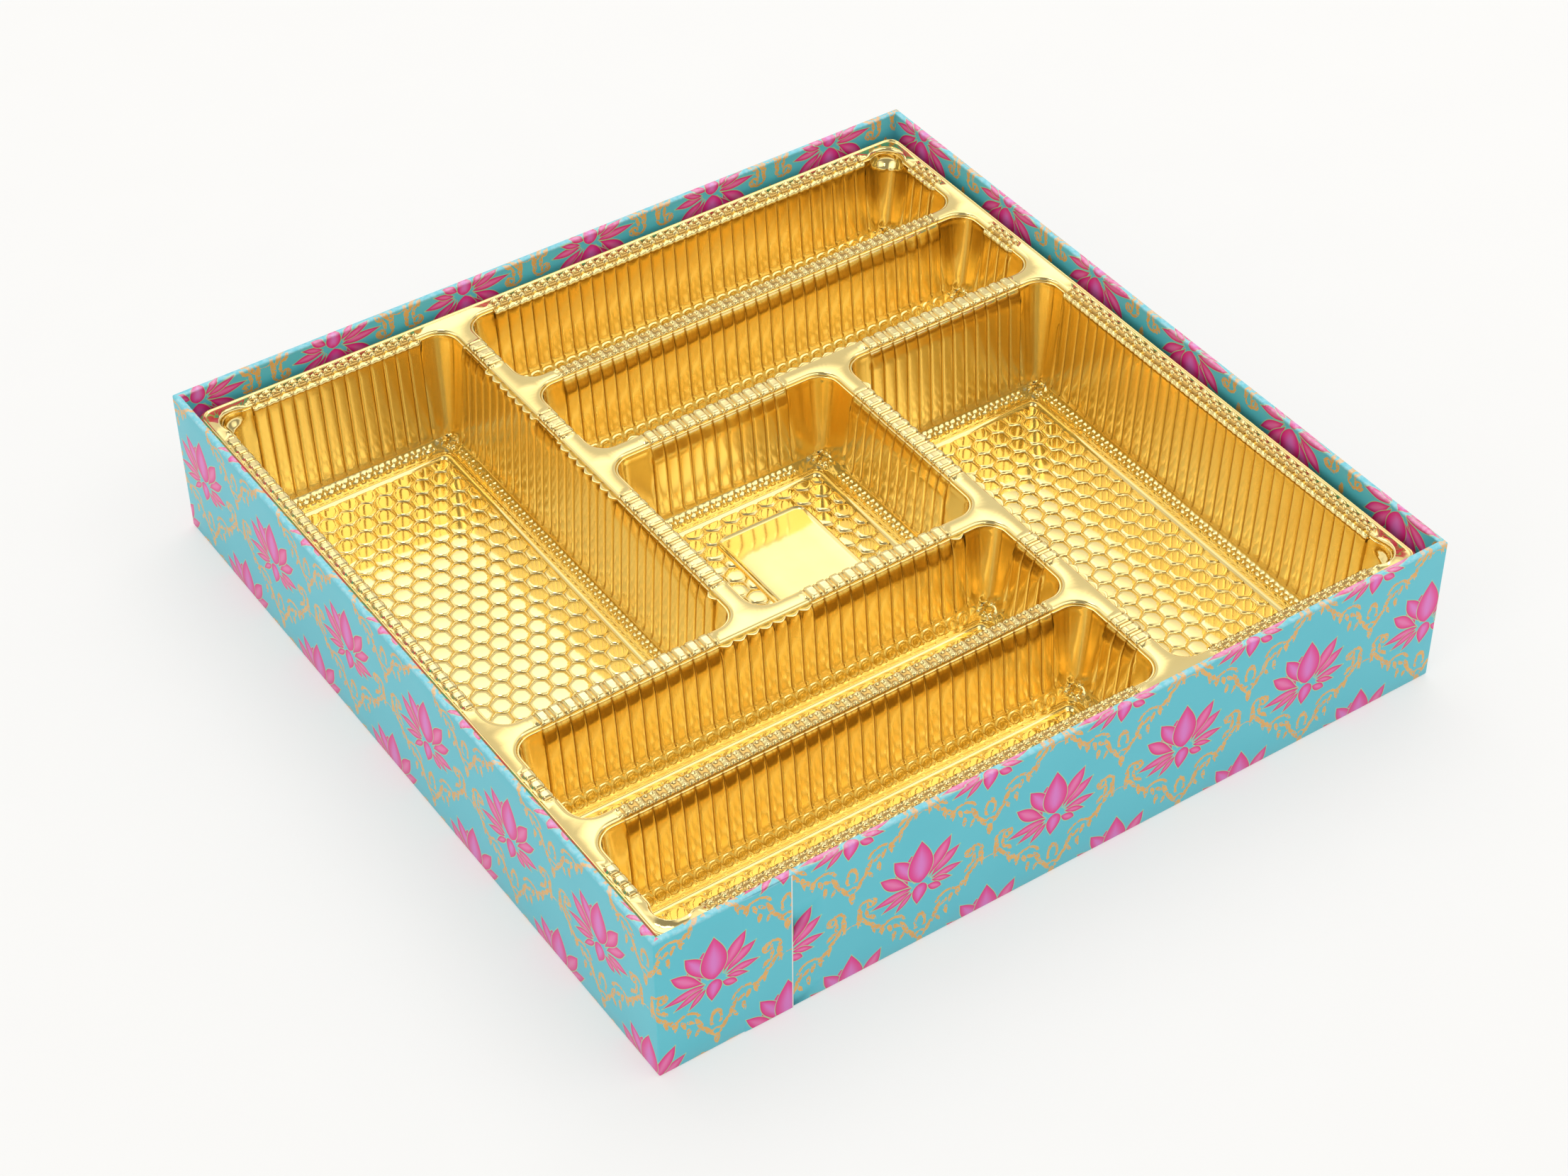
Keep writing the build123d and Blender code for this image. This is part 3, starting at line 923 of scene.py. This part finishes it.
def tray_deck():
    """Flange and dividers with their ridges, a rolled outer edge, and a lip round each pocket."""
    upper, lower, parts = [], [], []
    for rect, _, plain, notch in POCKETS.values():
        cols = columns(rect, plain, np.arange(LOOP_STEPS) / LOOP_STEPS)
        first = level(rect, cols, notch, -ROLL, DECK_TOP)
        h, _ = deck_height(first[:, :2], BROAD)
        rows = []
        for inset, drop, share, push in LIP:
            flat = level(rect, cols, notch, inset, DECK_TOP)[:, :2]
            row = level(rect, cols, notch, inset, DECK_TOP - drop, push * h)
            row[:, 2] += h * share + deck_height(flat, FINE)[0] * min(1.0, -inset / 0.2)
            rows.append(row)
        upper.append(rows[0][:, :2])
        for inset, drop in ((-FILM, 1.0), (-FILM - 0.1, 0.7), (-ROLL - 0.1, FILM)):
            rows.append(level(rect, cols, notch, inset, DECK_TOP - drop))
        lower.append(rows[-1][:, :2])
        parts.append(stitch(rows))
    rows = [rounded_square(TRAY_HALF - inset, 3.5, DECK_TOP + height) for inset, height in RIM]
    upper.append(rows[0][:, :2])
    rows.append(rounded_square(TRAY_HALF - FILM, 3.3, DECK_TOP + RIM[-1][1]))
    rows.append(rounded_square(TRAY_HALF - FILM, 3.3, DECK_TOP - 1.0))
    rows.append(rounded_square(TRAY_HALF - RIM[0][0], 3.5, DECK_TOP - FILM))
    lower.append(rows[-1][:, :2])
    points, faces = stitch(rows)
    parts.append((points, faces[:, ::-1]))
    grid = []
    for x, y, ax, ay, nx, ny, count, high, _ in RUNS:
        ends = LOOP_STEPS // 2
        along = np.arange(-ends, (count - 1) * LOOP_STEPS + ends + 1) / LOOP_STEPS * PITCH
        far = high + 0.4 if high == FLANGE_RUN else high - ROLL - 0.2
        across = np.arange(ROLL + 0.2, far, GRID_STEP)
        s, q = np.meshgrid(along, across)
        grid.append(np.stack([x + s.ravel() * ax + q.ravel() * nx, y + s.ravel() * ay + q.ravel() * ny], 1))
    points, faces = between_loops(upper, grid)
    parts.append((np.column_stack([points, DECK_TOP + deck_height(points, BROAD + FINE)[0]]), faces))
    points, faces = between_loops(lower)
    parts.append((np.column_stack([points, np.full(len(points), DECK_TOP - FILM)]), faces[:, ::-1]))
    bm = weld(*join(parts), 0.004)
    bmesh.ops.delete(bm, geom=[v for v in bm.verts if not v.link_faces], context="VERTS")
    bmesh.ops.recalc_face_normals(bm, faces=bm.faces)
    points, faces = unpack(bm)
    # Hollows between the deck's ridges and beads get painted shade through the sheet's x, and the ridges
    # and beads painted highlights through its y
    h, hollow = deck_height(points[:, :2], BROAD + FINE)
    painted_highlight = h / 0.7
    hollow += 0.6 * smooth(hollow, 0.75, 1.0)
    sheet = [(hollow[v], painted_highlight[v]) for f in faces for v in f]
    obj = mesh_object("tray_deck_film", points, faces, [GOLD], sheet, 55)
    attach(obj, "tray")
    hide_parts("tray_deck")


# The printed wrap, one sheet folded over the boards

def sheet_uv(side, s, t, strip):
    """Place on the flat sheet of a point at s along a side, at t up and over it."""
    length = 2 * HALF
    run = side * length + s
    if strip:
        run += 4 * length
    ramp = np.clip((run - length) / (2 * length), 0, 1)
    back = np.clip((run - 3 * length) / (1.4 * length), 0, 1)
    return run - CLOSE * ramp, t - SKEW * ramp + 1.2 * back


def wrap_profile():
    """The sheet's outer face, as (inwards, height, place on the sheet), and its back, as the first two."""
    outer = [(15, 0.2, -15), (8, 0.2, -8), (FOLD, 0.2, -0.4), (0.15, 0.35, 0), (0, 0.7, 0.5)]
    outer += [(0, z, z) for z in (6, 14, 22, 30, 38, 45, HEIGHT - FOLD)]
    fold_z = HEIGHT - FOLD
    for a in np.linspace(0, pi / 2, 5)[1:]:
        outer.append((FOLD - FOLD * cos(a), fold_z + FOLD * sin(a), fold_z + FOLD * 1.6 * sin(a)))
    rim = HALF - INSIDE
    for a in np.linspace(pi / 2, pi, 5):
        outer.append((rim - FOLD - FOLD * cos(a), fold_z + FOLD * sin(a),
                      HEIGHT + rim - FOLD * 0.6 - FOLD * 0.6 * cos(a)))
    top = outer[-1][2]
    outer += [(rim, z, top + HEIGHT - FOLD - z) for z in (42, 34, 26, 19.8)]
    inner = [(1.8, 19.8), (1.8, 49.6), (1.6, 49.8), (0.4, 49.8), (0.2, 49.6), (0.2, 0.4), (15, 0.4)]
    return outer, inner


def side_wrap():
    outer, inner = wrap_profile()
    ring_profile = [(d, z) for d, z, _ in outer] + inner
    across = [t for _, _, t in outer]
    n = len(ring_profile)
    seam_s = SEAM + HALF
    stations = []
    for k in range(4):
        s = np.linspace(0, 1, 27)
        if k == FRONT:
            s = np.sort(np.append(s, (seam_s - FOLD) / (2 * HALF - 2 * FOLD)))
        stations += [(k, v, -1) for v in s]
        stations += [(k, 1.0, a) for a in np.linspace(0, pi / 2, 5)[1:-1]]
    points, place = [], []
    length = 2 * HALF
    for k, share, turn in stations:
        (ax, ay), (nx, ny) = SIDE_AXES[k]
        cx, cy = corners_of((-HALF, -HALF, HALF, HALF))[k]
        for d, z in ring_profile:
            reach = max(FOLD, d)
            if turn < 0:
                flat = s = reach + share * (length - 2 * reach)
                t = d
            else:
                r = reach - d
                s = length - reach + r * sin(turn)
                t = reach - r * cos(turn)
                flat = length - FOLD + 2 * FOLD * turn / (pi / 2) if d < FOLD else s
            points.append((cx + ax * s + nx * t, cy + ay * s + ny * t, z))
            place.append(flat)
    faces, uvs, kinds = [], [], []
    total = len(stations)
    for a in range(total):
        b = (a + 1) % total
        ka, kb = stations[a][0], stations[b][0]
        for p in range(n):
            q = (p + 1) % n
            corner_ids = [(a, p), (a, q), (b, q), (b, p)]
            face = tuple(i * n + j for i, j in corner_ids)
            printed = p + 1 == q < len(outer)
            flats = [place[v] for v in face]
            if kb != ka:
                flats = [f if i == a else length + f for f, (i, j) in zip(flats, corner_ids)]
            strip = ka == FRONT and np.mean(flats) < seam_s
            heights = [across[j] if j < len(outer) else 0 for _, j in corner_ids]
            uvs += [sheet_uv(ka, f, h, strip) for f, h in zip(flats, heights)]
            faces.append(face)
            kinds.append(0 if printed else 1)
    # The sheet's end, lapped over its start on the front wall
    lap_from, lift, border = seam_s - LAP, 0.2, 0.35
    base = len(points)
    xs = [lap_from, lap_from + 1.5, lap_from + 5, seam_s - 5, seam_s - border, seam_s, seam_s]
    lifts = [0.0, lift * 0.6, lift, lift, lift, lift, 0.0]
    zs = [0.3, 0.7, 10, 20, 30, 40, 49.4, 49.75]
    for x, up in zip(xs, lifts):
        for z in zs:
            edge = 1.0 if 0.5 < z < 49.5 else 0.75
            points.append((x - HALF, -HALF - up * edge, z))
    m = len(zs)
    for i in range(len(xs) - 1):
        for j in range(m - 1):
            ids = [(i, j), (i + 1, j), (i + 1, j + 1), (i, j + 1)]
            faces.append(tuple(base + u * m + v for u, v in ids))
            uvs += [sheet_uv(FRONT, xs[u], zs[v], True) for u, v in ids]
            kinds.append(1 if i >= len(xs) - 3 else 0)
    obj = mesh_object("printed_wrap", points, faces, [PRINT, WHITE], uvs, 35, kinds)
    bm = bmesh.new()
    bm.from_mesh(obj.data)
    bmesh.ops.remove_doubles(bm, verts=bm.verts, dist=1e-6)
    bmesh.ops.dissolve_degenerate(bm, edges=bm.edges, dist=1e-7)
    bm.to_mesh(obj.data)
    bm.free()
    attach(obj, "box")
    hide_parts("side_wrap")


# Build the pieces

side_wrap()
tray_deck()
for pocket_name, values in POCKETS.items():
    pocket(pocket_name, *values)

walls = [side + "_wall_board" for side in ("front", "back", "left", "right")]
stays = [end + side + "_corner_stay" for end in ("front_", "back_") for side in ("left", "right")]
sheets = ["bottom_sheet", "base_liner"]
for coat, names in ((BOARD, ["base_board", *walls]), (KRAFT, stays), (WHITE, sheets)):
    for name in names:
        node = frame["nodes"][name]
        if not node.material_slots:
            node.data.materials.append(coat)
        for slot in node.material_slots:
            slot.material = coat


# Floor, light and camera

def studio_floor():
    """A pale floor, mixed half and half with white for camera and glossy rays."""
    g = material("studio_floor", Roughness=0.9, Specular_IOR_Level=0.1)
    grain = g.noise(30, 2, 0.5, g.place())
    path = g.outputs("LightPath")
    seen = g.math("MAXIMUM", path["Is Camera Ray"], path["Is Glossy Ray"])
    tone = g.mix(grain, (0.82, 0.813, 0.796, 1), (0.84, 0.833, 0.816, 1))
    g.put(tone, g.shader.inputs["Base Color"])
    white = g.add("Emission", {"Color": (1.0, 0.997, 0.985, 1)})
    both = g.add("MixShader", {0: g.mul(seen, 0.5), 1: g.shader.outputs[0], 2: white})
    g.put(both, g.tree.nodes["Material Output"].inputs["Surface"])
    mesh = bpy.data.meshes.new("studio_floor")
    reach = 6.0
    square = corners_of((-reach, -reach, reach, reach))
    mesh.from_pydata([(x, y, 0) for x, y in square], [], [(0, 1, 2, 3)])
    mesh.materials.append(g.owner)
    obj = link("studio_floor", mesh)


# Bright places in the studio: direction, added strength, and degrees to its foot and its top
WINDOWS = [
    (0.345, 0.574, 0.743, 0.8, 12, 3),
    (0.323, -0.488, 0.809, 1.35, 36, 16),
    (-0.70, 0.10, 0.70, 1.0, 26, 12),
    (0.16, 0.42, 0.89, 7.0, 4, 2),
    (0.55, -0.10, 0.83, 7.0, 4, 2),
    (-0.20, -0.55, 0.81, 6.0, 4, 2),
]


def world():
    """White to camera and transmission rays. Glossy rays see white near the horizon, grey above
    it with a brighter band at the back, and the bright places. The rest see one pale tone."""
    w = bpy.data.worlds.new("studio")
    bpy.context.scene.world = w
    w.use_nodes = True
    g = Graph(w)
    back = g.tree.nodes["Background"]
    path = g.outputs("LightPath")
    way = g.outputs("TexCoord")["Generated"]
    _, north, high = g.split(way)
    behind = g.step(north, -0.25, 0.15)
    band = g.mul(behind, g.less(g.step(high, 0.80, 0.95)))
    band = g.mul(band, g.muladd(g.step(high, 0.60, 0.74), 0.5, 0.5))
    level_now = g.muladd(band, 0.90, 0.32)
    for *toward, strength, wide, narrow in WINDOWS:
        near = g.outputs("VectorMath", {0: way, 1: Vector(toward).normalized()},
                         operation="DOT_PRODUCT")["Value"]
        glow = g.step(near, cos(radians(wide)), cos(radians(narrow)))
        level_now = g.muladd(glow, strength, level_now)
    horizon = g.less(g.step(high, 0.18, 0.34))
    shown = g.mix(horizon, level_now, (1.0, 1.0, 1.0, 1))
    clear = g.math("MAXIMUM", path["Is Camera Ray"], path["Is Transmission Ray"])
    seen = g.math("MAXIMUM", path["Is Glossy Ray"], clear)
    shown = g.mix(clear, shown, (1.0, 1.0, 1.0, 1))
    g.put(g.mix(seen, (0.80, 0.79, 0.775, 1), shown), back.inputs["Color"])
    back.inputs["Strength"].default_value = 1.0


def softbox(name, place, size, power):
    """A lamp turned to the middle of the box's underside and hidden from glossy rays."""
    light = bpy.data.lights.new(name, "AREA")
    light.shape = "RECTANGLE"
    light.size, light.size_y = size
    light.energy = power
    obj = link(name, light)
    obj.location = place
    obj.rotation_euler = (-Vector(place)).to_track_quat("-Z", "Y").to_euler()
    obj.visible_glossy = False


def camera():
    """The camera fitted to the box's corners in the photograph."""
    az, el, roll = radians(-33.92), radians(41.96), radians(-0.570)
    distance = 933.8
    target = Vector((-15.40, -18.13, 25.0))
    away = Vector((sin(az) * cos(el), -cos(az) * cos(el), sin(el)))
    right = (-away).cross(Vector((0, 0, 1))).normalized()
    up = right.cross(-away)
    r = right * cos(roll) + up * sin(roll)
    u = up * cos(roll) - right * sin(roll)
    data = bpy.data.cameras.new("camera")
    sensor, focal, photo_width = 36.0, 4655.1, 2212     # millimetres, and the photograph's pixels
    data.sensor_width = sensor
    data.lens = focal / photo_width * sensor
    data.clip_start = 0.01
    data.clip_end = 50.0
    obj = link("camera", data)
    place = (target + away * distance) * MM
    obj.matrix_world = Matrix(((r.x, u.x, away.x, place.x), (r.y, u.y, away.y, place.y),
                               (r.z, u.z, away.z, place.z), (0, 0, 0, 1)))
    bpy.context.scene.camera = obj


studio_floor()
world()
softbox("key", (0.414, 0.638, 1.407), (1.5, 1.2), 7.5)
softbox("fill", (0.473, -0.714, 1.229), (1.0, 0.6), 2.6)
softbox("side", (-1.2, -0.4, 0.9), (0.6, 1.2), 2.4)
camera()
bpy.context.scene.view_settings.view_transform = "Standard"
